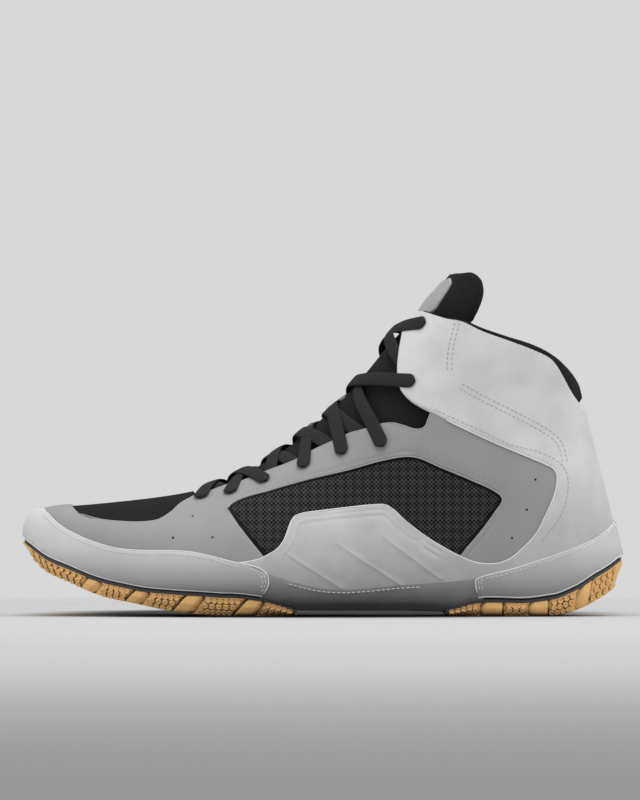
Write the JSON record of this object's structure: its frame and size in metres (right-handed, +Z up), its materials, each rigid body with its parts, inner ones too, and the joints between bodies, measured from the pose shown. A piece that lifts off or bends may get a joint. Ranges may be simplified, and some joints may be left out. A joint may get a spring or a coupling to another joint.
{
  "type": "wrestling shoe",
  "caption": "Left high-top wrestling shoe: laced mesh and leather upper with a padded tongue, over a split gum-rubber sole with raised lugs.",
  "frame": {"origin": "middle of the shoe's box on the floor it stands on", "axes": "toe to -X, heel to +X, outer side of the foot to -Y, +Z up"},
  "size_m": [0.29, 0.1028, 0.1665],
  "materials": {
    "mesh": "open black mesh over a lining",
    "grey": "matt grey synthetic leather",
    "white": "matt white synthetic leather with suede patches",
    "arch": "grey suede",
    "lining": "soft dark lining",
    "foam": "dark grey foam",
    "gum": "matt gum rubber",
    "lace": "flat woven black lace",
    "badge": "satin silver label, plain"
  },
  "bodies": {
    "root": {"upper": "mesh", "toe_rand": "white", "heel_rand": "white", "arch_band": "arch", "quarter_frame": "white", "vamp_panel": "grey", "collar_lining": "lining", "tongue": "mesh", "tongue_badge": "badge", "insole": "lining", "midsole_forefoot": "foam", "midsole_heel": "foam", "outsole_forefoot": "gum", "outsole_heel": "gum", "lace_crossing_1": "lace", "lace_crossing_2": "lace", "lace_crossing_3": "lace", "lace_crossing_4": "lace", "lace_crossing_5": "lace", "lace_crossing_6": "lace", "lace_crossing_7": "lace"}
  },
  "joints": []
}
